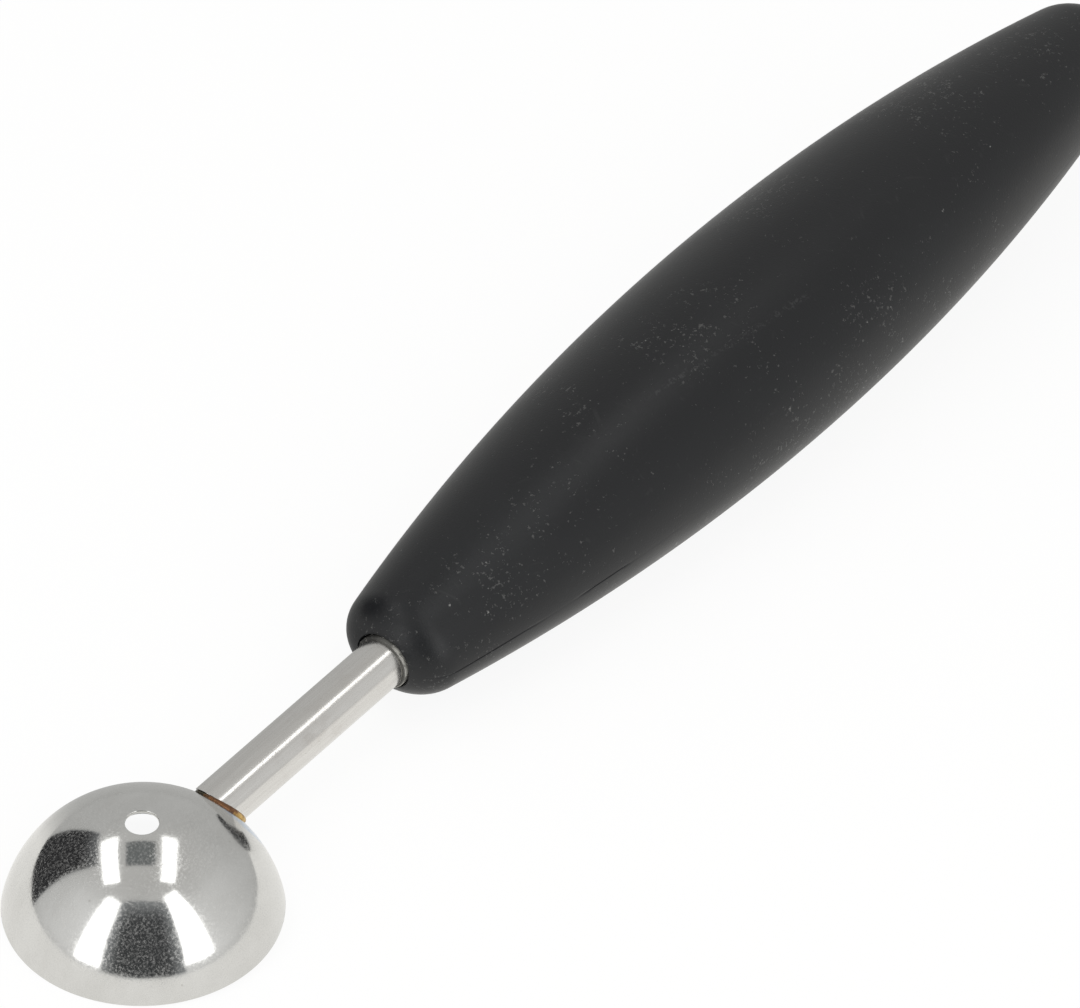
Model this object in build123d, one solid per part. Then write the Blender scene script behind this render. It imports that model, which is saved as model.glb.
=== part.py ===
from build123d import *
import math
import os

# A single-ended melon baller, lying face down as it is put on a table. X runs from the cup to the
# tail of the grip, Z is up, and the origin is on the table under the middle of the whole tool.
# Everything is modelled round the stem's axis, with zero where the cup's own axis crosses it, and
# is then tipped until the cup's front lip and the grip's belly both touch the table.

# Cup, drawn from sheet as a cap a little short of a hemisphere
rim_radius = 15.0
cup_height = 12.2
cup_wall = 1.0
lip_bevel = 0.35
drain_radius = 1.8
drain_deburr = 0.15
drain_countersink = 0.7

# Stem, a welded tube
stem_radius = 2.92
stem_wall = 0.6
stem_height = 5.0
stem_showing = 26.24
stem_buried = 62.0
crimp_taper = 9.0
crimp_flat = 7.0
crimp_slit = 0.08

# Weld between the tube's coped end and the cup
weld_gap = 0.3
weld_leg = 0.6
weld_leg_least = 0.08

# Grip, a soft skin moulded over a rigid core
grip_length = 139.3
grip_widest = 68.7
grip_half_width = 13.98
grip_thin_half_width = 6.0752161
grip_crown = 11.9
grip_belly = 10.85
nose_round = 4.9
tail_round = 6.7
grip_skin = 2.2
mouth_clearance = 0.15
mouth_depth = 1.8
mouth_flare = 0.15
seam_width = 0.25
seam_depth = 0.15
belly_flat = 0.2

# Core, which shows only as a collar round the stem in the grip's mouth
core_setback = 6.0
core_taper = 32.0
collar_wall = 0.3
collar_standout = 0.1

# One overrun serves every cut
overrun = 2.0

# The cup's sphere, from its rim and height
cup_radius = (rim_radius**2 + cup_height**2) / (2 * cup_height)
rim_drop = cup_radius - cup_height
cup_centre = Pos(0, 0, -stem_height - rim_drop)
bore_radius = stem_radius - stem_wall
collar_radius = stem_radius + collar_wall
nose_x = rim_radius + stem_showing
along_stem = Rot(0, 90, 0)

# The grip's sides are one long arc, furthest out a little in front of the middle, and its thin end
# is the one that lies further from there. At these sizes that is the tail, and the nose comes out
# 6.5 wide to each side.
grip_reach = max(grip_widest, grip_length - grip_widest)
grip_rise = grip_half_width - grip_thin_half_width
grip_arc_radius = (grip_reach**2 + grip_rise**2) / (2 * grip_rise)

# Where the stem ends, and where its crimp begins and is at its thinnest
stem_end = nose_x + stem_buried
flat_x = stem_end - crimp_flat
crimp_x = flat_x - crimp_taper


def ball(radius):
    """A solid ball round the centre of the cup's sphere."""
    return cup_centre * Sphere(radius)


def bar(radius, start, length):
    """A round bar along the stem's axis."""
    low_end = (Align.CENTER, Align.CENTER, Align.MIN)
    return Pos(start, 0, 0) * along_stem * Cylinder(radius, length, align=low_end)


def make_cup():
    """The drawn cup: two concentric arcs swung round the cup's axis, with a bevelled lip.

    Its hole is deburred outside and countersunk inside, so that the juice runs off its edge."""
    inner_radius = cup_radius - cup_wall
    inner_rim = math.sqrt(inner_radius**2 - rim_drop**2)
    outer_hole = math.sqrt(cup_radius**2 - drain_radius**2)
    inner_hole = math.sqrt(inner_radius**2 - drain_radius**2)
    outside = RadiusArc((rim_radius, rim_drop), (drain_radius, outer_hole), -cup_radius)
    hole_wall = Line((drain_radius, outer_hole), (drain_radius, inner_hole))
    inside = RadiusArc((drain_radius, inner_hole), (inner_rim, rim_drop), inner_radius)
    land = Line((inner_rim, rim_drop), (rim_radius, rim_drop))
    section = make_face([outside, hole_wall, inside, land])
    lip = section.vertices().sort_by_distance((inner_rim, rim_drop))[0]
    section = chamfer(lip, lip_bevel)
    hole_bottom = section.vertices().group_by(Axis.X)[0].sort_by(Axis.Y)[0]
    section = chamfer(hole_bottom, drain_countersink)
    hole_top = section.vertices().group_by(Axis.X)[0].sort_by(Axis.Y)[-1]
    section = chamfer(hole_top, drain_deburr)
    return cup_centre * revolve(Plane.XZ * section, Axis.Z)


def crimped_bar(radius, start, half_gap):
    """A bar along the stem's axis whose back end is pressed to a wedge and then a flat."""
    slope = (radius - half_gap) / crimp_taper
    knee = (crimp_x - overrun, radius + slope * overrun)
    upper = [(start, radius + slope * overrun), knee, (flat_x, half_gap), (stem_end, half_gap)]
    lower = [(x, -z) for x, z in reversed(upper)]
    side_view = make_face(Polyline(*upper, *lower, close=True))
    return bar(radius, start, stem_end - start) & extrude(Plane.XZ * side_view, radius, both=True)


def make_stem(outline):
    """The tube: coped to stand off the cup by the weld gap, its bore pinched to a slit by the crimp."""
    return outline - crimped_bar(bore_radius, 0, crimp_slit) - ball(cup_radius + weld_gap)


def make_weld(stem):
    """A bead that fills the gap at the tube's end and thickens to a fillet under the tube."""
    bead_radius = stem_radius + (weld_leg + weld_leg_least) / 2
    sag = (weld_leg - weld_leg_least) / 2
    bead = Pos(0, 0, -sag) * bar(bead_radius, 0, cup_radius + weld_leg + overrun)
    bead = bead & ball(cup_radius + weld_leg)
    bead = bead - ball(cup_radius) - bar(bore_radius, -overrun, cup_radius + weld_leg + 2 * overrun)
    return bead - stem


def swell(x):
    """Half the grip's width at a distance behind its nose."""
    fall = grip_arc_radius - math.sqrt(grip_arc_radius**2 - (x - grip_widest) ** 2)
    return grip_half_width - fall


def belly_depth(x):
    """How deep the grip is under the stem's axis at a distance behind its nose."""
    return swell(x) * grip_belly / grip_half_width


def side_outline(start, end, inset):
    """One side of the grip's plan, from the stem's axis out to the long arc, with rounded ends."""
    middle = (grip_widest, grip_half_width - inset)
    front = (start, swell(start) - inset)
    back = (end, swell(end) - inset)
    side = ThreePointArc(front, middle, back)
    closing = Polyline(back, (end, 0), (start, 0), front)
    outline = make_face([side, *closing.edges()])
    front_corner = outline.vertices().sort_by_distance(front)[0]
    outline = fillet(front_corner, nose_round)
    back_corner = outline.vertices().sort_by_distance(back)[0]
    return Pos(nose_x, 0, 0) * fillet(back_corner, tail_round)


def half_barrel(outline, height):
    """The outline swung half round the stem's axis, and pressed to an oval of the given height."""
    return scale(revolve(outline, Axis.X, 180), by=(1, 1, height / grip_half_width))


def make_core_blank():
    """The core before the stem takes its place in it: a bar with tapered ends, and its collar."""
    core_end = grip_length - core_setback
    end_radius = belly_depth(core_setback) - grip_skin
    middle_radius = belly_depth(core_setback + core_taper) - grip_skin
    side = Polyline(
        (core_setback, 0),
        (core_setback, end_radius),
        (core_setback + core_taper, middle_radius),
        (core_end - core_taper, middle_radius),
        (core_end, end_radius),
        (core_end, 0),
        close=True,
    )
    body = Pos(nose_x, 0, 0) * revolve(make_face(side), Axis.X)
    collar_length = core_setback + collar_standout + overrun
    return body + bar(collar_radius, nose_x - collar_standout, collar_length)


def make_core(stem_outline):
    """The core is moulded round the stem, so it holds the stem's exact shape, flat end and all."""
    return make_core_blank() - stem_outline


def make_mouth():
    """What is taken out of the nose of the grip: a round mouth clear of the collar, with a flared lip."""
    mouth_radius = collar_radius + mouth_clearance
    side = Polyline(
        (-overrun, 0),
        (-overrun, mouth_radius + mouth_flare + overrun),
        (mouth_flare, mouth_radius),
        (mouth_depth, mouth_radius),
        (mouth_depth, 0),
        close=True,
    )
    return Pos(nose_x, 0, 0) * revolve(make_face(side), Axis.X)


def make_grip():
    """The skin, moulded over the core.

    The mould parts at the stem's axis, and a plate a little smaller than the two halves leaves the
    seam between them as a fine groove."""
    outline = side_outline(0, grip_length, 0)
    upper_height = grip_crown - seam_width / 2
    lower_height = grip_belly - seam_width / 2
    upper = Pos(0, 0, seam_width / 2) * half_barrel(outline, upper_height)
    lower = Pos(0, 0, -seam_width / 2) * half_barrel(outline, -lower_height)
    plate_outline = side_outline(seam_depth, grip_length - seam_depth, seam_depth)
    plate = extrude(plate_outline + mirror(plate_outline, Plane.XZ), seam_width / 2, both=True)
    return upper + lower + plate - make_mouth() - make_core_blank()


def resting_tilt():
    """The angle of the table, which touches the cup's front lip and takes the flat off the belly.

    Heights are stretched until the belly's long curve is a true arc, and the line from the lip
    that is tangent to that arc, raised by the flat, is shrunk back again."""
    stretch = grip_half_width / grip_belly
    across = nose_x + grip_widest + rim_radius
    up = grip_arc_radius - grip_half_width + stem_height * stretch
    to_centre = math.hypot(across, up)
    slope = math.atan2(up, across) - math.asin((grip_arc_radius - belly_flat * stretch) / to_centre)
    return -math.degrees(math.atan(math.tan(slope) / stretch))


stem_outline = crimped_bar(stem_radius, 0, stem_wall + crimp_slit)
stem = make_stem(stem_outline)
nodes = {
    "scoop_bowl": make_cup(),
    "stem_tube": stem,
    "weld_bead": make_weld(stem),
    "handle_core": make_core(stem_outline),
    "rubber_grip": make_grip(),
}
tilt = Rot(0, -resting_tilt(), 0)
tipped = {name: tilt * piece for name, piece in nodes.items()}
table = Plane.XY.offset(tipped["scoop_bowl"].bounding_box().min.Z)
tipped["rubber_grip"] = split(tipped["rubber_grip"], table, keep=Keep.TOP)
extent = Compound([solid for piece in tipped.values() for solid in piece.solids()]).bounding_box()
to_table = Pos(-(extent.min.X + extent.max.X) / 2, 0, -table.origin.Z)

os.makedirs("parts", exist_ok=True)
for name, piece in tipped.items():
    export_step(to_table * piece, f"parts/{name}.step")
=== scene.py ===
import math

import bmesh
import bpy
from mathutils import Matrix, Vector, noise


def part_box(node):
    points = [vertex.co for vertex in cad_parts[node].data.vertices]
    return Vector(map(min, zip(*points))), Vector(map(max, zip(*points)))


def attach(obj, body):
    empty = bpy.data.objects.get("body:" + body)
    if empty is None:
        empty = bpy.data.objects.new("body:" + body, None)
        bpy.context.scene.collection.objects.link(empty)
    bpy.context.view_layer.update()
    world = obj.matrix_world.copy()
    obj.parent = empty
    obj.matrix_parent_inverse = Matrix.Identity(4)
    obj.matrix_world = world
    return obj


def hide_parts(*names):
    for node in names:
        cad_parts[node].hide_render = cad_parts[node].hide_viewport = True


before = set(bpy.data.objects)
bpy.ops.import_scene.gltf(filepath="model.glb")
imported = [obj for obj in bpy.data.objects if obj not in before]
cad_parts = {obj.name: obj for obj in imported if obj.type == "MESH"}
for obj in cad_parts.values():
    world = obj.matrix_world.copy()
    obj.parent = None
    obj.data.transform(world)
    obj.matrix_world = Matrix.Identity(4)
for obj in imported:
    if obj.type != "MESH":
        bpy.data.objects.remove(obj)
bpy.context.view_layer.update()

# Sizes of the tool in millimetres. The tool's own frame has X along the stem's axis, with zero
# where the cup's axis crosses it, and Z out of the cup's crown.

# Cup
rim_radius = 15.0
cup_height = 12.2
cup_wall = 1.0
lip_round = 0.3
drain_radius = 1.8
drain_round = 0.06
drain_countersink = 0.7

# Stem, with the places along it where the grip begins, where its crimp begins and is at its
# thinnest, and where it ends
stem_radius = 2.92
stem_wall = 0.6
stem_height = 5.0
stem_round = 0.1
nose_x = 41.24
crimp_x = 87.24
flat_x = 96.24
stem_end = 103.24
crimp_slit = 0.08

# Weld, a round bead sunk a little in the tube and in the cup
weld_gap = 0.3
bead_radius = 0.4
bead_sunk = 0.12

# Grip, whose lengths are taken from its nose
grip_length = 139.3
grip_widest = 68.7
grip_half_width = 13.98
grip_nose_half_width = 6.5
grip_crown = 11.9
grip_belly = 10.85
nose_round = 4.9
nose_opening = 5.2
tail_round = 6.7
mouth_radius = 3.37
mouth_flare = 0.15
mouth_depth = 1.8

# Seam. It gapes at two places, each given by its middle and by how far it reaches to either side,
# and elsewhere keeps a small share of its depth. At the tail its sides close and its bottom comes
# up at these distances from the stem's axis.
seam_width = 0.25
seam_depth = 0.15
seam_gapes = ((8.5, 8.0), (25.5, 4.0))
seam_shut_share = 0.07
seam_sides_end = 5.0
seam_bottom_end = 4.7

# Core, which fills the grip and shows as a collar in its mouth
collar_radius = 3.22
core_setback = 6.0
core_taper = 32.0
core_end_radius = 3.87
core_middle_radius = 7.5

# How near a point is to a line or a level when it counts as lying there, and to another point when
# the two are joined
near = 0.01
same_point = 0.0005

cup_radius = (rim_radius**2 + cup_height**2) / (2 * cup_height)
rim_drop = cup_radius - cup_height
cup_centre = Vector((0, 0, -stem_height - rim_drop))
grip_rise = grip_half_width - grip_nose_half_width
grip_arc_radius = (grip_widest**2 + grip_rise**2) / (2 * grip_rise)

# The tool lies on the cup's front lip and the grip's belly, so its stem rises a little to the tail
tilt = math.radians(2.8166)
lip_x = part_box("scoop_bowl")[0].x * 1000
crossing = Vector((
    lip_x + rim_radius * math.cos(tilt) - stem_height * math.sin(tilt),
    0,
    rim_radius * math.sin(tilt) + stem_height * math.cos(tilt),
))
turn = Matrix.Rotation(-tilt, 4, "Y")
to_table = Matrix.Scale(0.001, 4) @ Matrix.Translation(crossing) @ turn
along_stem = Matrix.Rotation(math.radians(90), 4, "Y")


def piece(name, bm, node, material, sharp=30):
    """A finished piece: put in its place on the table, smoothed, and riding on the tool's one body."""
    bmesh.ops.transform(bm, matrix=to_table, verts=bm.verts)
    mesh = bpy.data.meshes.new(name)
    bm.to_mesh(mesh)
    bm.free()
    mesh.shade_smooth()
    mesh.set_sharp_from_angle(angle=math.radians(sharp))
    made = bpy.data.objects.new(name, mesh)
    bpy.context.scene.collection.objects.link(made)
    made.data.materials.append(material)
    even = made.modifiers.new("Even shading", "WEIGHTED_NORMAL")
    even.keep_sharp = True
    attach(made, "root")
    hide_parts(node)
    return made


def arc(bm, start, centre, axis, angle, steps):
    """A chain of edges along an arc, drawn by swinging one vertex."""
    first = bmesh.ops.create_vert(bm, co=start)["vert"]
    known = set(bm.edges)
    bmesh.ops.spin(bm, geom=first, cent=centre, axis=axis, angle=angle, steps=steps)
    return [edge for edge in bm.edges if edge not in known]


def close_up(bm):
    """Joins the seams of a spun shape and turns its faces outwards."""
    bmesh.ops.remove_doubles(bm, verts=bm.verts, dist=same_point)
    bmesh.ops.recalc_face_normals(bm, faces=bm.faces)
    if bm.calc_volume(signed=True) < 0:
        bmesh.ops.reverse_faces(bm, faces=bm.faces)


def spin_round(bm, centre, axis, sides):
    """Spins the whole section in a bmesh once round an axis."""
    bmesh.ops.spin(
        bm, geom=list(bm.verts) + list(bm.edges), cent=centre, axis=axis,
        angle=math.tau, steps=sides, use_merge=True,
    )


def bevel(bm, edges, width, segments):
    """Rounds edges."""
    bmesh.ops.bevel(
        bm, geom=edges, offset=width, offset_type="OFFSET", affect="EDGES",
        segments=segments, profile=0.5, material=-1, clamp_overlap=True,
    )


def is_ring(edge, radius, height):
    """Whether an edge runs round the cup's axis at this radius and height."""
    return all(
        abs(point.co.xy.length - radius) < near and abs(point.co.z - height) < near
        for point in edge.verts
    )


def make_cup(material):
    """The drawn cup: two arcs, joined at the rim and by the countersunk hole, spun round its axis."""
    bm = bmesh.new()
    inner_radius = cup_radius - cup_wall
    ends = []
    for radius, top in ((cup_radius, drain_radius), (inner_radius, drain_radius + drain_countersink)):
        low = math.asin(rim_drop / radius)
        high = math.acos(top / radius)
        start = cup_centre + Vector((radius * math.cos(low), 0, radius * math.sin(low)))
        chain = arc(bm, start, cup_centre, (0, -1, 0), high - low, 44)
        points = sorted({point for edge in chain for point in edge.verts}, key=lambda point: point.co.z)
        ends.append((points[0], points[-1]))
    (outer_rim, outer_top), (inner_rim, inner_top) = ends
    foot_height = math.sqrt(inner_radius**2 - drain_radius**2) + drain_countersink
    hole_foot = bm.verts.new(cup_centre + Vector((drain_radius, 0, foot_height)))
    for pair in ((outer_rim, inner_rim), (inner_top, hole_foot), (hole_foot, outer_top)):
        bm.edges.new(pair)
    spin_round(bm, cup_centre, (0, 0, 1), 192)
    close_up(bm)
    lip_radius = math.sqrt(inner_radius**2 - rim_drop**2)
    hole_top = cup_centre.z + math.sqrt(cup_radius**2 - drain_radius**2)
    for radius, height, width, segments in (
        (lip_radius, -stem_height, lip_round, 3),
        (rim_radius, -stem_height, lip_round / 3, 2),
        (drain_radius, hole_top, drain_round, 3),
    ):
        bevel(bm, [edge for edge in bm.edges if is_ring(edge, radius, height)], width, segments)
    piece("cup", bm, "scoop_bowl", material, sharp=40)


def extrude(bm, ring):
    """Extrudes a ring of edges in place, and gives the new ring's points and edges."""
    made = bmesh.ops.extrude_edge_only(bm, edges=ring)["geom"]
    points = [item for item in made if isinstance(item, bmesh.types.BMVert)]
    return points, [item for item in made if isinstance(item, bmesh.types.BMEdge)]


def carry(bm, ring, x, radius=None):
    """Extrudes a ring of edges along the stem's axis, to another radius if one is given."""
    points, ring = extrude(bm, ring)
    for point in points:
        point.co.x = x
        if radius is not None:
            point.co.yz = point.co.yz.normalized() * radius
    return ring


def cope(y, z, gap):
    """Where a line along the stem meets the cup's outside, or a ball that much larger."""
    return math.sqrt((cup_radius + gap) ** 2 - y**2 - (z - cup_centre.z) ** 2)


def is_outer_rim(point):
    """Whether a point of the stem lies on its coped end, on the outside of the tube."""
    on_end = abs(point.co.x - cope(point.co.y, point.co.z, weld_gap)) < near
    return on_end and point.co.yz.length > stem_radius - near


def make_stem(material):
    """The tube: coped to the cup at its front end, and crimped inside the grip.

    Its outside is drawn and pressed first, then walled, and its front end is coped last."""
    bm = bmesh.new()
    front_x = cope(0, 0, weld_gap)
    first_x = front_x + 2
    place = Matrix.Translation((first_x, 0, 0)) @ along_stem
    bmesh.ops.create_circle(bm, radius=stem_radius, segments=96, matrix=place)
    first = list(bm.edges)
    ring = first
    for x in (crimp_x, flat_x, stem_end):
        ring = carry(bm, ring, x)
    pressed = (stem_wall + crimp_slit) / stem_radius
    for point in bm.verts:
        if point.co.x > (crimp_x + flat_x) / 2:
            point.co.z *= pressed
    carry(bm, first, front_x)
    bmesh.ops.recalc_face_normals(bm, faces=bm.faces)
    if sum(face.normal.dot(Vector((0, *face.calc_center_median().yz))) for face in bm.faces) < 0:
        bmesh.ops.reverse_faces(bm, faces=bm.faces)
    bmesh.ops.solidify(bm, geom=bm.faces, thickness=stem_wall)
    halfway = (front_x + first_x) / 2
    for point in bm.verts:
        if point.co.x < halfway:
            point.co.x = cope(point.co.y, point.co.z, weld_gap)
    close_up(bm)
    rim = [edge for edge in bm.edges if all(is_outer_rim(point) for point in edge.verts)]
    bevel(bm, rim, stem_round, 2)
    return piece("stem", bm, "stem_tube", material)


def make_weld(material):
    """An uneven bead round the coped end of the tube, sunk in the gap on one side and full on the other."""
    full_side = Vector((-0.94, -0.34))
    lumps = ((3.1, 0.22), (9.0, 0.1))
    bm = bmesh.new()
    place = Matrix.Translation((0, stem_radius - bead_sunk, 0))
    bmesh.ops.create_circle(bm, radius=bead_radius, segments=16, matrix=place)
    spin_round(bm, (0, 0, 0), (1, 0, 0), 160)
    close_up(bm)
    for point in bm.verts:
        around = point.co.yz.normalized()
        out = point.co.yz.length - stem_radius
        full = 0.5 + 0.5 * around.dot(full_side)
        size = 0.4 + 0.8 * min(full * 1.3, 1)
        for often, height in lumps:
            size += height * noise.noise(Vector((*around, 0)) * often)
        sunk = 0.25 * (1 - full)
        point.co.yz = around * (stem_radius - sunk + out * size)
        point.co.x = cope(point.co.y, point.co.z, bead_sunk) + point.co.x * size
    piece("weld", bm, "weld_bead", material, sharp=180)


def corner(end, rounding):
    """The centre of the arc that rounds an end of the grip's side, and the slope of the side there."""
    across = grip_arc_radius - rounding
    x = end + rounding if end == 0 else end - rounding
    y = grip_half_width - grip_arc_radius + math.sqrt(across**2 - (grip_widest - x) ** 2)
    return Vector((x, y, 0)), math.asin(abs(grip_widest - x) / across)


def nose_profile(radius):
    """How far behind the grip's front end its rounded nose is, at a distance from the axis."""
    centre, slope = corner(0, nose_round)
    reach = min(max(radius - centre.y, 0), nose_round)
    return nose_round - math.sqrt(nose_round**2 - reach**2)


def flattening(z):
    """How the mould presses the round barrel: to an oval with a crown, and a belly less deep."""
    return (grip_crown if z > 0 else grip_belly) / grip_half_width


def draw_side(bm):
    """One side of the grip: the arcs of its nose, its side and its tail, and on to the tail's middle."""
    turn_in = (0, 0, -1)
    nose_centre, nose_slope = corner(0, nose_round)
    tail_centre, tail_slope = corner(grip_length, tail_round)
    opened = math.asin((nose_opening - nose_centre.y) / nose_round)
    nose_start = nose_centre + nose_round * Vector((-math.cos(opened), math.sin(opened), 0))
    arc(bm, nose_start, nose_centre, turn_in, math.pi / 2 - nose_slope - opened, 10)
    side_start = nose_centre + nose_round * Vector((-math.sin(nose_slope), math.cos(nose_slope), 0))
    side_centre = (grip_widest, grip_half_width - grip_arc_radius, 0)
    arc(bm, side_start, side_centre, turn_in, nose_slope + tail_slope, 110)
    tail_start = tail_centre + tail_round * Vector((math.sin(tail_slope), math.cos(tail_slope), 0))
    arc(bm, tail_start, tail_centre, turn_in, math.pi / 2 - tail_slope, 12)
    end = bmesh.ops.create_vert(bm, co=(grip_length, tail_centre.y, 0))["vert"][0]
    pole = bmesh.ops.create_vert(bm, co=(grip_length, 0, 0))["vert"][0]
    bm.edges.new((end, pole))


def is_seam(edge):
    """Whether an edge lies along the mould's parting line, on either side of the grip."""
    for point in edge.verts:
        if abs(point.co.z) > near or abs(point.co.y) < seam_sides_end:
            return False
    return abs(edge.verts[0].co.x - edge.verts[1].co.x) > near


def seam_share(x):
    """The share of the seam's depth that is open at a distance behind the nose."""
    slope = 1.6
    gape = max(1 - abs(x - middle) / reach for middle, reach in seam_gapes)
    return seam_shut_share + (1 - seam_shut_share) * min(max(gape * slope, 0), 1)


def cut_seam(bm):
    """The mould's parting line, a groove along both sides."""
    bevel(bm, [edge for edge in bm.edges if is_seam(edge)], seam_width / 2, 2)
    for point in bm.verts:
        if abs(point.co.z) < near and abs(point.co.y) > seam_bottom_end:
            point.co.y -= math.copysign(seam_depth * seam_share(point.co.x), point.co.y)


def draw_in_nose(bm, ring):
    """Carries the oval opening of the nose along its rounding, in to the round lip of the mouth."""
    for steps_left in (4, 3, 2, 1):
        points, ring = extrude(bm, ring)
        for point in points:
            flat = point.co.yz.copy()
            lip = flat.normalized() * (mouth_radius + mouth_flare)
            point.co.yz = flat.lerp(lip, 1 / steps_left)
            unpressed = Vector((point.co.y, point.co.z / flattening(point.co.z)))
            point.co.x = nose_profile(unpressed.length)
    return ring


def line_cavity(bm, ring):
    """Carries the mouth's lip over its flare, and on round the collar and the core to the far end."""
    core_end = grip_length - core_setback
    stations = (
        (mouth_flare * 1.6, mouth_radius + mouth_flare * 0.3),
        (mouth_flare * 2.4, mouth_radius),
        (mouth_depth, mouth_radius),
        (mouth_depth, collar_radius),
        (core_setback, collar_radius),
        (core_setback, core_end_radius),
        (core_setback + core_taper, core_middle_radius),
        (core_end - core_taper, core_middle_radius),
        (core_end, core_end_radius),
    )
    for x, radius in stations:
        ring = carry(bm, ring, x, radius)
    bmesh.ops.holes_fill(bm, edges=ring, sides=0)


def make_grip(material):
    """The skin: its side spun round the stem's axis, seamed, pressed oval and opened for the core."""
    bm = bmesh.new()
    draw_side(bm)
    spin_round(bm, (0, 0, 0), (1, 0, 0), 144)
    bmesh.ops.remove_doubles(bm, verts=bm.verts, dist=0.02)
    bmesh.ops.recalc_face_normals(bm, faces=bm.faces)
    cut_seam(bm)
    for point in bm.verts:
        point.co.z *= flattening(point.co.z)
    ring = draw_in_nose(bm, [edge for edge in bm.edges if edge.is_boundary])
    line_cavity(bm, ring)
    bmesh.ops.translate(bm, verts=bm.verts, vec=(nose_x, 0, 0))
    bmesh.ops.recalc_face_normals(bm, faces=bm.faces)
    made = piece("grip", bm, "rubber_grip", material, sharp=35)

    # The soft belly lies flat on the table
    for point in made.data.vertices:
        point.co.z = max(point.co.z, 0)


def add(tree, kind, inputs=(), **settings):
    """A node with its settings. An input is a value, or a socket to be linked to it."""
    made = tree.nodes.new("ShaderNode" + kind)
    for name, value in settings.items():
        setattr(made, name, value)
    for name, value in dict(inputs).items():
        if isinstance(value, bpy.types.NodeSocket):
            tree.links.new(value, made.inputs[name])
        else:
            made.inputs[name].default_value = value
    return made


def maths(tree, operation, first, second=0.0, third=0.0):
    """The result of a Math node, whose inputs are values or sockets."""
    return add(tree, "Math", {0: first, 1: second, 2: third}, operation=operation).outputs[0]


def ramp(tree, value, low, high, start=0.0, end=1.0):
    """A value's range carried smoothly to another range, and held at its ends."""
    inputs = {"Value": value, "From Min": low, "From Max": high, "To Min": start, "To Max": end}
    return add(tree, "MapRange", inputs, interpolation_type="SMOOTHSTEP").outputs[0]


def mix(tree, share, first, second):
    """A colour between two others: inputs 6 and 7 and output 2 are a Mix node's sockets for colours."""
    return add(tree, "Mix", {0: share, 6: first, 7: second}, data_type="RGBA").outputs[2]


def cloud(tree, place, scale, detail=3.0, roughness=0.5):
    """Plain noise, around 0.5, at so many waves to the metre."""
    inputs = {"Vector": place, "Scale": scale, "Detail": detail, "Roughness": roughness}
    return add(tree, "TexNoise", inputs).outputs[0]


def stretched(tree, place, scale, centre=(0, 0, 0), angle=(0, 0, 0)):
    """Object coordinates centred, turned and scaled, so that a pattern runs along the piece."""
    moved = add(tree, "Mapping", {"Vector": place, "Location": centre, "Rotation": angle})
    return add(tree, "Mapping", {"Vector": moved.outputs[0], "Scale": scale}).outputs[0]


def rgb(red, green, blue):
    """An opaque colour."""
    return (red, green, blue, 1)


def new_group(name, inputs, outputs):
    """A shader node group with named inputs (each with its usual value) and outputs."""
    tree = bpy.data.node_groups.new(name, "ShaderNodeTree")
    for label, value in inputs.items():
        kind = "NodeSocketVector" if value is None else "NodeSocketFloat"
        socket = tree.interface.new_socket(label, in_out="INPUT", socket_type=kind)
        if value is not None:
            socket.default_value = value
    for label in outputs:
        tree.interface.new_socket(label, in_out="OUTPUT", socket_type="NodeSocketFloat")
    enter = tree.nodes.new("NodeGroupInput")
    leave = tree.nodes.new("NodeGroupOutput")
    return tree, enter.outputs, leave.inputs


def dust_group():
    """Dust and lint: broken specks with ragged edges, more of them where the dust gathers."""
    inputs = {"Place": None, "Specks to the metre": 2600.0, "Least": 0.66, "Gathering": 0.5}
    tree, given, result = new_group("Dust", inputs, ["Specks"])
    ragged = cloud(tree, given["Place"], given["Specks to the metre"], 3.0, 0.75)
    gathered = cloud(tree, given["Place"], 55.0, 3.0, 0.6)
    spread = cloud(tree, given["Place"], 420.0, 1.0)
    there = ramp(tree, maths(tree, "MULTIPLY_ADD", spread, 0.35, gathered), 0.6, 0.8)
    eased = maths(tree, "MULTIPLY", given["Gathering"], maths(tree, "SUBTRACT", 1.0, there))
    above = maths(tree, "SUBTRACT", ragged, maths(tree, "MULTIPLY_ADD", eased, 0.2, given["Least"]))
    tree.links.new(ramp(tree, above, 0.0, 0.05), result["Specks"])
    return tree


def scratch_group():
    """Hairline marks in three directions, faint and broken, as cloths and drawers leave them."""
    inputs = {"Place": None, "Lines to the metre": 2500.0, "Length": 14.0, "Amount": 0.5}
    tree, given, result = new_group("Hairlines", inputs, ["Lines"])
    marks = []
    for angle in (0.5, 2.2, 1.3):
        turned = given["Place"]
        for axis in ("Z_AXIS", "X_AXIS"):
            step = add(tree, "VectorRotate", {"Vector": turned, "Angle": angle}, rotation_type=axis)
            turned = step.outputs[0]
        apart = add(tree, "SeparateXYZ", {0: turned})
        short = maths(tree, "DIVIDE", apart.outputs[0], given["Length"])
        drawn = add(tree, "CombineXYZ", {0: short, 1: apart.outputs[1], 2: apart.outputs[2]})
        lines = cloud(tree, drawn.outputs[0], given["Lines to the metre"], 1.0)
        broken = ramp(tree, cloud(tree, given["Place"], 160.0 + 60.0 * angle, 1.0), 0.45, 0.62)
        marks.append(maths(tree, "MULTIPLY", ramp(tree, lines, 0.66, 0.8), broken))
    every = maths(tree, "MAXIMUM", maths(tree, "MAXIMUM", marks[0], marks[1]), marks[2])
    tree.links.new(maths(tree, "MULTIPLY", every, given["Amount"]), result["Lines"])
    return tree


def put_group(tree, group, **inputs):
    """A group placed in a material with its own values."""
    made = tree.nodes.new("ShaderNodeGroup")
    made.node_tree = group
    for name, value in inputs.items():
        socket = made.inputs[name.replace("_", " ")]
        if isinstance(value, bpy.types.NodeSocket):
            tree.links.new(value, socket)
        else:
            socket.default_value = value
    return made.outputs[0]


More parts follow.
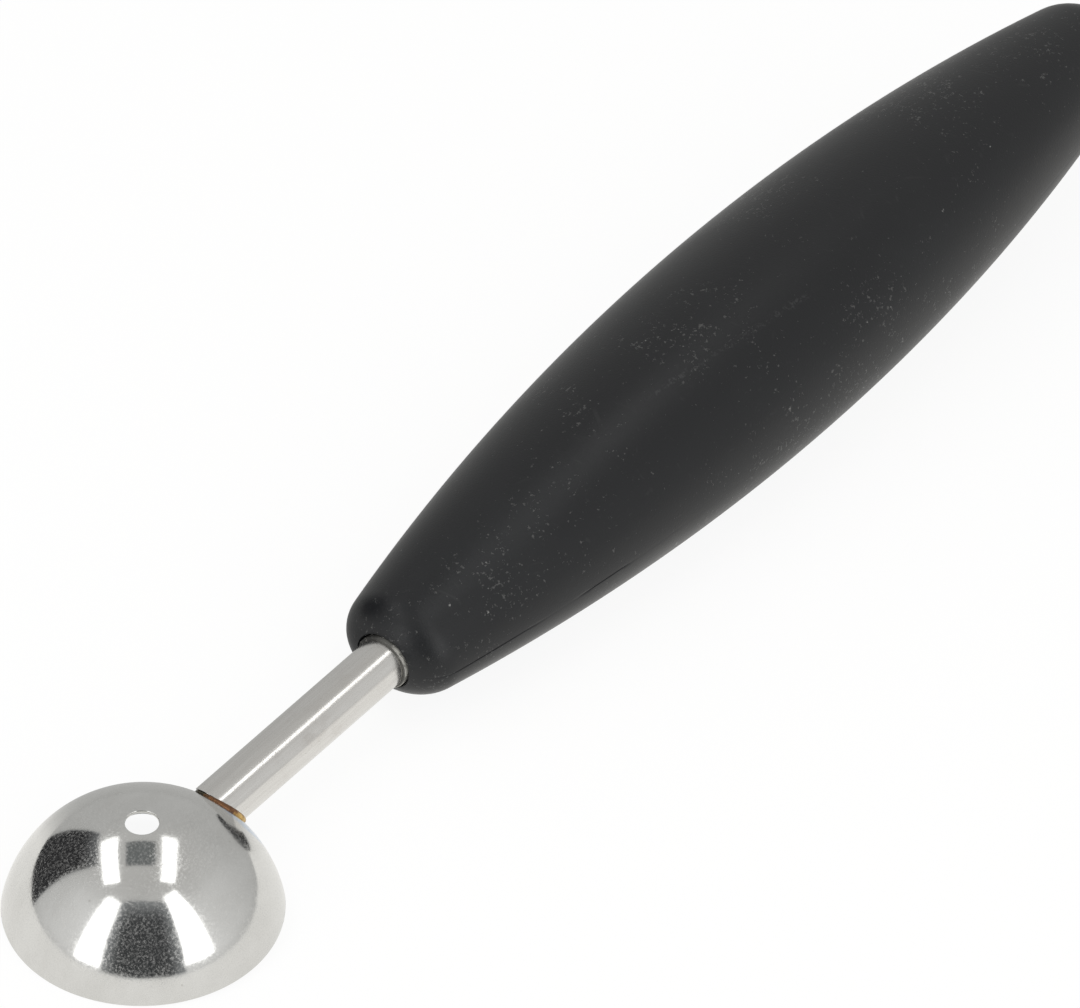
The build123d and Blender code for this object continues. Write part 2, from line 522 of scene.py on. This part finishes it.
def start_material(name, **values):
    """A material with a Principled BSDF, its plain values set on the shader's own sockets."""
    material = bpy.data.materials.new(name)
    material.use_nodes = True
    tree = material.node_tree
    shader = tree.nodes["Principled BSDF"]
    for socket, value in values.items():
        shader.inputs[socket.replace("_", " ")].default_value = value
    place = add(tree, "TexCoord").outputs["Object"]
    return material, tree, shader.inputs, place


def raise_surface(tree, sockets, height, distance):
    """Bumps the shader's surface by a height pattern, at a true depth in metres."""
    bump = add(tree, "Bump", {"Height": height, "Distance": distance, "Strength": 1.0})
    tree.links.new(bump.outputs[0], sockets["Normal"])


def on_table(x, y, z):
    """A point of the tool's own frame, in millimetres, as Object coordinates."""
    return to_table @ Vector((x, y, z))


def from_line(tree, place, start, end):
    """How far a place is along a line from its start, and how far off the line, in metres."""
    course = (end - start).normalized()
    away = add(tree, "VectorMath", {0: place, 1: start}, operation="SUBTRACT").outputs[0]
    along = add(tree, "VectorMath", {0: away, 1: course}, operation="DOT_PRODUCT").outputs["Value"]
    beside = add(tree, "VectorMath", {0: away, 1: course}, operation="CROSS_PRODUCT").outputs[0]
    return along, add(tree, "VectorMath", {0: beside}, operation="LENGTH").outputs["Value"]


def polished_steel(hairlines):
    """Bright drawn steel: wiping marks, a fine speckle, small pits and a heat tint by the weld."""
    material, tree, sockets, place = start_material("Polished steel")
    marks = put_group(tree, hairlines, Place=place, Lines_to_the_metre=3200.0, Length=22.0, Amount=1.0)
    smears = cloud(tree, stretched(tree, place, (90, 260, 140)), 1.0, 4.0, 0.6)
    grit = cloud(tree, place, 4000.0, 3.0, 0.7)

    # A heat tint of straw and then blue, by the distance in metres from the joint's underside
    joint = on_table(cope(0, 0, 0), -stem_radius * 0.85, 0)
    from_joint = add(tree, "VectorMath", {0: place, 1: joint}, operation="DISTANCE").outputs["Value"]
    from_joint = maths(tree, "MULTIPLY_ADD", cloud(tree, place, 260.0, 2.0), 0.0016, from_joint)
    straw_full, blue_full, blue_fades, blue_ends = 0.0018, 0.0024, 0.0044, 0.0056
    straw = ramp(tree, from_joint, blue_full, straw_full)
    blue = ramp(tree, from_joint, straw_full, blue_full)
    blue = maths(tree, "MULTIPLY", blue, ramp(tree, from_joint, blue_ends, blue_fades))

    # A pit in the middle of a few of the cells that the surface is divided into
    cells = add(tree, "TexVoronoi", {"Vector": place, "Scale": 1100.0})
    chance = add(tree, "SeparateColor", {0: cells.outputs["Color"]})
    few = maths(tree, "LESS_THAN", chance.outputs[0], 0.015)
    pits = maths(tree, "MULTIPLY", ramp(tree, cells.outputs["Distance"], 0.2, 0.08), few)

    colour = mix(tree, ramp(tree, smears, 0.35, 0.7), rgb(0.69, 0.688, 0.675), rgb(0.64, 0.637, 0.622))
    colour = mix(tree, maths(tree, "MULTIPLY", blue, 0.9), colour, rgb(0.4, 0.5, 0.64))
    colour = mix(tree, maths(tree, "MULTIPLY", straw, 0.6), colour, rgb(0.52, 0.4, 0.24))
    colour = mix(tree, maths(tree, "MULTIPLY", pits, 0.3), colour, rgb(0.3, 0.285, 0.25))
    tree.links.new(colour, sockets["Base Color"])

    # The speckle takes a little of the metal's shine away, so that it shows in dark reflections
    wear = ramp(tree, smears, 0.4, 0.6, 0.6, 1.0)
    speckle = maths(tree, "MULTIPLY", ramp(tree, grit, 0.43, 0.7), wear)
    dulled = maths(tree, "MULTIPLY", speckle, 0.21)
    tree.links.new(maths(tree, "SUBTRACT", 1.0, dulled), sockets["Metallic"])
    rough = ramp(tree, smears, 0.3, 0.75, 0.07, 0.11)
    for pattern, share in ((speckle, 0.14), (marks, 0.08), (straw, 0.15)):
        rough = maths(tree, "MULTIPLY_ADD", pattern, share, rough)
    tree.links.new(rough, sockets["Roughness"])
    height = cloud(tree, place, 330.0, 2.0, 0.4)
    for pattern, share in ((marks, -0.05), (pits, -0.3), (grit, 0.04)):
        height = maths(tree, "MULTIPLY_ADD", pattern, share, height)
    raise_surface(tree, sockets, height, 0.00002)
    return material


def satin_steel(hairlines):
    """Welded tube, ground lengthwise: a fine grain along the tube, stains, and a speckle of wear."""
    material, tree, sockets, place = start_material("Satin steel", Metallic=1.0)
    along = stretched(tree, place, (110, 3600, 3600), angle=(0, tilt, 0))
    grain = cloud(tree, along, 1.0, 4.0, 0.65)
    wide = cloud(tree, stretched(tree, place, (30, 500, 500), angle=(0, tilt, 0)), 1.0, 3.0)
    grit = cloud(tree, place, 5200.0, 3.0, 0.7)
    stains = cloud(tree, place, 260.0, 4.0, 0.6)
    marks = put_group(tree, hairlines, Place=place, Lines_to_the_metre=2400.0, Length=9.0, Amount=0.8)
    colour = mix(tree, ramp(tree, grain, 0.3, 0.7), rgb(0.68, 0.665, 0.645), rgb(0.745, 0.735, 0.715))
    colour = mix(tree, ramp(tree, wide, 0.45, 0.75, 0.0, 0.35), colour, rgb(0.62, 0.6, 0.575))
    colour = mix(tree, ramp(tree, grit, 0.55, 0.75, 0.0, 0.4), colour, rgb(0.42, 0.395, 0.37))
    colour = mix(tree, ramp(tree, stains, 0.55, 0.8, 0.0, 0.3), colour, rgb(0.42, 0.38, 0.34))
    tree.links.new(colour, sockets["Base Color"])
    rough = maths(tree, "ADD", ramp(tree, grain, 0.25, 0.75, 0.2, 0.14), maths(tree, "MULTIPLY", marks, 0.1))
    rough = maths(tree, "ADD", rough, ramp(tree, grit, 0.5, 0.72, 0.0, 0.16))
    tree.links.new(rough, sockets["Roughness"])
    height = maths(tree, "MULTIPLY_ADD", marks, -0.4, maths(tree, "MULTIPLY_ADD", grit, 0.3, grain))
    raise_surface(tree, sockets, height, 0.0000035)
    return material


def heat_tinted_weld():
    """A bead that is dark olive on its sunk side, brown along its middle and gold at its full end."""
    material, tree, sockets, place = start_material("Heat-tinted weld", Metallic=0.9)
    blotches = cloud(tree, place, 1300.0, 4.0, 0.65)

    # The colours change across the tool, at these distances in metres from its middle
    olive_ends, brown_starts, brown_ends, gold_starts = 0.0008, -0.0006, -0.0027, -0.0033
    across = add(tree, "SeparateXYZ", {0: place}).outputs[1]
    across = maths(tree, "MULTIPLY_ADD", maths(tree, "SUBTRACT", blotches, 0.5), 0.0022, across)
    brown = ramp(tree, across, olive_ends, brown_starts)
    gold = ramp(tree, across, brown_ends, gold_starts)
    colour = mix(tree, brown, rgb(0.07, 0.06, 0.035), rgb(0.22, 0.105, 0.05))
    colour = mix(tree, gold, colour, rgb(0.6, 0.4, 0.13))
    colour = mix(tree, ramp(tree, blotches, 0.56, 0.72, 0.0, 0.6), colour, rgb(0.06, 0.045, 0.035))
    tree.links.new(colour, sockets["Base Color"])
    tree.links.new(ramp(tree, blotches, 0.3, 0.7, 0.28, 0.5), sockets["Roughness"])
    raise_surface(tree, sockets, blotches, 0.00012)
    return material


def moulded_plastic(dust, hairlines):
    """Hard dark plastic with a fine moulded texture and a little dust.

    One side of its collar is painted lighter grey, as if light falls on it, and its outer edge there carries
    a bright painted glint, broken by noise."""
    material, tree, sockets, place = start_material("Core plastic", Specular_IOR_Level=0.35)
    texture = cloud(tree, place, 5000.0, 2.0)
    specks = put_group(tree, dust, Place=place, Specks_to_the_metre=2600.0, Least=0.62)
    marks = put_group(tree, hairlines, Place=place, Lines_to_the_metre=2000.0, Length=6.0, Amount=0.5)
    tone = cloud(tree, place, 240.0, 3.0)

    # Distances in metres, across the tool and from the stem's axis
    across = add(tree, "SeparateXYZ", {0: place}).outputs[1]
    from_axis = from_line(tree, place, on_table(0, 0, 0), on_table(nose_x, 0, 0))[1]
    # Painted light: the collar's side towards -Y is painted lighter, as if lit, and its outer edge there gets
    # a painted glint
    painted_lit_side = ramp(tree, across, 0.0018, -0.0006)
    edge = maths(tree, "MULTIPLY", ramp(tree, from_axis, 0.0031, 0.00317), ramp(tree, across, -0.001, -0.002))
    edge = maths(tree, "MULTIPLY", edge, ramp(tree, cloud(tree, place, 1100.0, 3.0), 0.36, 0.56))

    colour = mix(tree, tone, rgb(0.018, 0.018, 0.017), rgb(0.035, 0.034, 0.032))
    # Over the plastic's own dark tone: painted light on the lit side, then the painted glint on the outer
    # edge
    colour = mix(tree, maths(tree, "MULTIPLY", painted_lit_side, 0.55), colour, rgb(0.19, 0.187, 0.175))
    colour = mix(tree, maths(tree, "MULTIPLY", edge, 0.8), colour, rgb(0.55, 0.54, 0.5))
    colour = mix(tree, maths(tree, "MAXIMUM", specks, marks), colour, rgb(0.4, 0.39, 0.37))
    tree.links.new(colour, sockets["Base Color"])
    tree.links.new(ramp(tree, tone, 0.3, 0.7, 0.42, 0.58), sockets["Roughness"])
    raise_surface(tree, sockets, texture, 0.00001)
    return material


def rub_line(tree, place):
    """A faint dotted line along the crown, the mark of a rub. Its lengths are in metres."""
    start, end = on_table(85.9, -4.05, 10.6), on_table(108.3, -7.05, 10.3)
    along, beside = from_line(tree, place, start, end)
    wander = cloud(tree, place, 700.0, 3.0, 0.6)
    beside = maths(tree, "MULTIPLY_ADD", wander, 0.0012, beside)
    line = maths(tree, "MULTIPLY", ramp(tree, beside, 0.0011, 0.0006), ramp(tree, along, -0.004, 0.001))
    line = maths(tree, "MULTIPLY", line, ramp(tree, along, 0.027, 0.022))
    dots = ramp(tree, cloud(tree, place, 2100.0, 3.0, 0.7), 0.48, 0.62)
    return maths(tree, "MULTIPLY", line, dots)


def soft_rubber(dust, hairlines):
    """Soft black rubber: a matt bloom in patches, dust, hairlines, a rub line and a fine skin texture."""
    material, tree, sockets, place = start_material(
        "Soft rubber", Specular_IOR_Level=0.38, Sheen_Weight=0.16, Sheen_Roughness=0.22,
    )
    skin = cloud(tree, place, 4200.0, 3.0, 0.6)
    patches = cloud(tree, stretched(tree, place, (38, 70, 70), angle=(0, tilt, 0)), 1.0, 4.0, 0.55)
    bloom = ramp(tree, patches, 0.42, 0.72)
    fine = put_group(tree, dust, Place=place, Specks_to_the_metre=1800.0, Least=0.585)
    coarse = put_group(tree, dust, Place=place, Specks_to_the_metre=950.0, Least=0.67, Gathering=0.3)
    marks = put_group(tree, hairlines, Place=place, Lines_to_the_metre=1300.0, Length=16.0, Amount=0.4)
    colour = mix(tree, bloom, rgb(0.0055, 0.006, 0.0075), rgb(0.0085, 0.0095, 0.011))
    layers = (
        (rub_line(tree, place), 0.14, rgb(0.16, 0.16, 0.16)),
        (skin, 0.15, rgb(0.016, 0.017, 0.018)),
        (marks, 0.1, rgb(0.16, 0.16, 0.155)),
        (fine, 0.28, rgb(0.2, 0.2, 0.195)),
        (coarse, 0.45, rgb(0.38, 0.38, 0.37)),
    )
    for pattern, share, shade in layers:
        colour = mix(tree, maths(tree, "MULTIPLY", pattern, share), colour, shade)
    tree.links.new(colour, sockets["Base Color"])
    tree.links.new(ramp(tree, patches, 0.3, 0.75, 0.36, 0.46), sockets["Roughness"])
    raise_surface(tree, sockets, maths(tree, "MULTIPLY_ADD", fine, 0.6, skin), 0.00002)
    return material


dust = dust_group()
hairlines = scratch_group()
make_cup(polished_steel(hairlines))
stem = make_stem(satin_steel(hairlines))
make_weld(heat_tinted_weld())
make_grip(soft_rubber(dust, hairlines))
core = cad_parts["handle_core"].data
core.materials.clear()
core.materials.append(moulded_plastic(dust, hairlines))


# Studio, in metres: a white tent over a white table. The tent stands square to the camera and its
# front is open. Lamps shine from its ceiling and from both sides of the opening, and the stem has
# a lamp of its own in place of the ceiling's right one.
tent_turn = math.radians(38.4)
tent_height = 0.6
tent_front = 0.35
tent = Matrix.Translation(on_table(0, 0, 0)) @ Matrix.Rotation(tent_turn, 4, "Z")
lamp_strength = 1.8
table_drop = 0.00002


def plane(name, width, length, place):
    """A flat rectangle for the studio, set where a matrix puts it."""
    mesh = bpy.data.meshes.new(name)
    bm = bmesh.new()
    bm.loops.layers.uv.new("UVMap")
    bmesh.ops.create_grid(bm, x_segments=1, y_segments=1, size=0.5, calc_uvs=True)
    bmesh.ops.transform(bm, matrix=place @ Matrix.Diagonal((width, length, 1, 1)), verts=bm.verts)
    bm.to_mesh(mesh)
    bm.free()
    made = bpy.data.objects.new(name, mesh)
    bpy.context.scene.collection.objects.link(made)
    return made


def bare_material(name):
    """A material with no shader in it yet."""
    material = bpy.data.materials.new(name)
    material.use_nodes = True
    material.node_tree.nodes.clear()
    return material, material.node_tree


def overhead(front, back, right, left):
    """Where a level rectangle is, facing down, by its edges as shares of the tent's height."""
    middle = Vector(((back + front) / 2, (left + right) / 2, 1)) * tent_height
    place = tent @ Matrix.Translation(middle)
    return place, (back - front) * tent_height, (left - right) * tent_height


def on_side(front, back, high, wall):
    """Where an upright rectangle is on the tent's left side, by its edges as shares of its height."""
    middle = Vector(((back + front) / 2, wall, high / 2)) * tent_height
    place = tent @ Matrix.Translation(middle) @ Matrix.Rotation(math.radians(90), 4, "X")
    return place, (back - front) * tent_height, high * tent_height


def upright(azimuth, spread, low, high):
    """Where an upright rectangle is at the tent's front, by the angles that it fills, in degrees."""
    facing = Matrix.Rotation(math.radians(azimuth), 4, "Z")
    bottom, top = (tent_front * math.tan(math.radians(angle)) for angle in (low, high))
    stand = Matrix.Rotation(math.radians(90), 4, "Y") @ Matrix.Rotation(math.radians(90), 4, "Z")
    middle = Matrix.Translation((tent_front, 0, (bottom + top) / 2))
    place = Matrix.Translation(on_table(0, 0, 0)) @ facing @ middle @ stand
    return place, 2 * tent_front * math.tan(math.radians(spread / 2)), top - bottom


def lamp(name, spot, subject=None, state="INCLUDE"):
    """A soft lamp that fills a rectangle, as strong for its size as the others.

    It lights only its subject if it has one, or all but that subject if the state is EXCLUDE."""
    place, width, length = spot
    data = bpy.data.lights.new(name, "AREA")
    data.shape = "RECTANGLE"
    data.size = width
    data.size_y = length
    data.energy = lamp_strength * math.pi * width * length
    made = bpy.data.objects.new(name, data)
    made.matrix_world = place
    made.visible_camera = False
    bpy.context.scene.collection.objects.link(made)
    if subject:
        flagged = bpy.data.collections.new(name)
        flagged.objects.link(subject)
        flagged.collection_objects[0].light_linking.link_state = state
        made.light_linking.receiver_collection = flagged


def opening(name, spot, middle, edge, sides, top):
    """An opening in the tent that only shows in the polished steel.

    Its middle's colour goes over to its edges' within two shares of its size, from its sides and
    from its top."""
    place, width, length = spot
    made = plane(name, width, length, place)
    paint, tree = bare_material(name)
    apart = add(tree, "SeparateXYZ", {0: add(tree, "TexCoord").outputs["UV"]}).outputs
    from_middle = maths(tree, "ABSOLUTE", maths(tree, "SUBTRACT", apart[0], 0.5))
    inside = ramp(tree, from_middle, 0.5, 0.5 - sides)
    inside = maths(tree, "MULTIPLY", inside, ramp(tree, apart[1], 1.0, 1.0 - top))
    glow = add(tree, "Emission", {"Color": mix(tree, inside, edge, middle), "Strength": 1.0})
    add(tree, "OutputMaterial", {"Surface": glow.outputs[0]})
    made.data.materials.append(paint)
    made.visible_camera = False
    made.visible_diffuse = False
    made.visible_shadow = False
    made.visible_transmission = False


def make_table():
    """A white table, set a hair lower than the belly's flat, so that the two don't share a plane.

    It is matt and holds the tool's shadow, and shows as lit white to the camera and in reflections, where a
    painted shade darkens it behind the cup.
    From beneath it is clear, so that the underside can be looked at."""
    floor = plane("floor", 12, 12, Matrix.Translation((0, 0, -table_drop)))
    paint, tree = bare_material("White table")
    floor.data.materials.append(paint)
    ray = add(tree, "LightPath").outputs
    shown = maths(tree, "MAXIMUM", ray["Is Camera Ray"], ray["Is Glossy Ray"])
    shown = maths(tree, "MAXIMUM", shown, ray["Is Transmission Ray"])

    # A painted shade: in reflections the table's glow darkens towards the back of the tent, as it lies from
    # the cup
    ground = add(tree, "TexCoord").outputs["Object"]
    cup_in_tent = Matrix.Rotation(-tent_turn, 3, "Z") @ on_table(*cup_centre)
    from_cup = stretched(tree, ground, (1, 1, 1), centre=-cup_in_tent, angle=(0, 0, -tent_turn))
    course = add(tree, "VectorMath", {0: from_cup}, operation="NORMALIZE").outputs[0]
    behind = add(tree, "SeparateXYZ", {0: course}).outputs[0]
    reflected_with_painted_shade = mix(tree, ramp(tree, behind, 0.72, 0.96), rgb(0.95, 0.94, 0.91), rgb(0.46, 0.46, 0.45))

    colour = mix(tree, ray["Is Glossy Ray"], rgb(1, 1, 1), reflected_with_painted_shade)
    glow = add(tree, "Emission", {"Color": colour, "Strength": 1.03})
    matt = add(tree, "BsdfDiffuse", {"Color": rgb(0.82, 0.82, 0.81)})
    glowing = maths(tree, "MULTIPLY", shown, 0.88)
    above = add(tree, "MixShader", {0: glowing, 1: matt.outputs[0], 2: glow.outputs[0]})
    beneath = add(tree, "NewGeometry").outputs["Backfacing"]
    clear = add(tree, "BsdfTransparent")
    both = add(tree, "MixShader", {0: beneath, 1: above.outputs[0], 2: clear.outputs[0]})
    add(tree, "OutputMaterial", {"Surface": both.outputs[0]})


def make_tent():
    """The tent's cloth, as the world: palest in front, darker at its back, top and foot.

    The camera sees plain white in its place."""
    world = bpy.data.worlds.new("Tent")
    bpy.context.scene.world = world
    world.use_nodes = True
    tree = world.node_tree
    tree.nodes.clear()
    course = add(tree, "TexCoord").outputs["Generated"]
    course = stretched(tree, course, (1, 1, 1), angle=(0, 0, -tent_turn))
    back, _, up = add(tree, "SeparateXYZ", {0: course}).outputs
    colour = mix(tree, ramp(tree, back, -0.8, 0.85), rgb(0.88, 0.88, 0.87), rgb(0.54, 0.54, 0.53))
    colour = mix(tree, ramp(tree, up, 0.55, 1.0), colour, rgb(0.57, 0.565, 0.55))
    foot = maths(tree, "MULTIPLY", ramp(tree, up, 0.14, 0.0), 0.25)
    colour = mix(tree, foot, colour, rgb(0.4, 0.4, 0.39))
    cloth = add(tree, "Background", {"Color": colour})
    paper = add(tree, "Background", {"Color": rgb(1, 1, 1)})
    seen = add(tree, "LightPath").outputs["Is Camera Ray"]
    mixed = add(tree, "MixShader", {0: seen, 1: cloth.outputs[0], 2: paper.outputs[0]})
    add(tree, "OutputWorld", {"Surface": mixed.outputs[0]})


def set_camera():
    """The photograph's camera: how it is turned round, raised and rolled, and how far off it is."""
    azimuth, elevation, roll = (math.radians(angle) for angle in (-55.613, 39.097, 3.615))
    target = Vector((-0.01352, 0, 0.0122))
    distance = 0.935
    data = bpy.data.cameras.new("Camera")
    data.lens = 284.5
    data.sensor_width = 36
    camera = bpy.data.objects.new("Camera", data)
    bpy.context.scene.collection.objects.link(camera)
    aim = Matrix.Rotation(azimuth, 4, "Z") @ Matrix.Rotation(math.pi / 2 - elevation, 4, "X")
    aim = aim @ Matrix.Rotation(roll, 4, "Z")
    camera.matrix_world = Matrix.Translation(target) @ aim @ Matrix.Translation((0, 0, distance))
    bpy.context.scene.camera = camera


lamp("Ceiling lamp, left", overhead(-0.2, 0.62, 0.35, 0.6))
lamp("Ceiling lamp, right", overhead(-0.2, 0.6, -0.418, -0.208), stem, "EXCLUDE")
lamp("Stem lamp", overhead(0.2, 0.64, -0.84, -0.65), stem)
lamp("Front lamp, right", upright(-97.4, 24.5, 6.3, 62.6))
lamp("Front lamp, left", upright(175.1, 21.5, 2.5, 55.5))
opening(
    "Front opening", upright(-142, 64, 1, 62),
    middle=rgb(0.05, 0.053, 0.055), edge=rgb(0.26, 0.27, 0.275), sides=0.24, top=0.5,
)
opening(
    "Side door", on_side(0.15, 0.85, 0.97, 0.633),
    middle=rgb(0.028, 0.028, 0.03), edge=rgb(0.16, 0.165, 0.17), sides=0.03, top=0.4,
)
opening(
    "Ceiling hole", overhead(0.02, 0.44, -0.12, 0.245),
    middle=rgb(0.17, 0.18, 0.18), edge=rgb(0.3, 0.3, 0.3), sides=0.08, top=0.08,
)
make_table()
make_tent()
set_camera()
bpy.context.scene.view_settings.view_transform = "Standard"
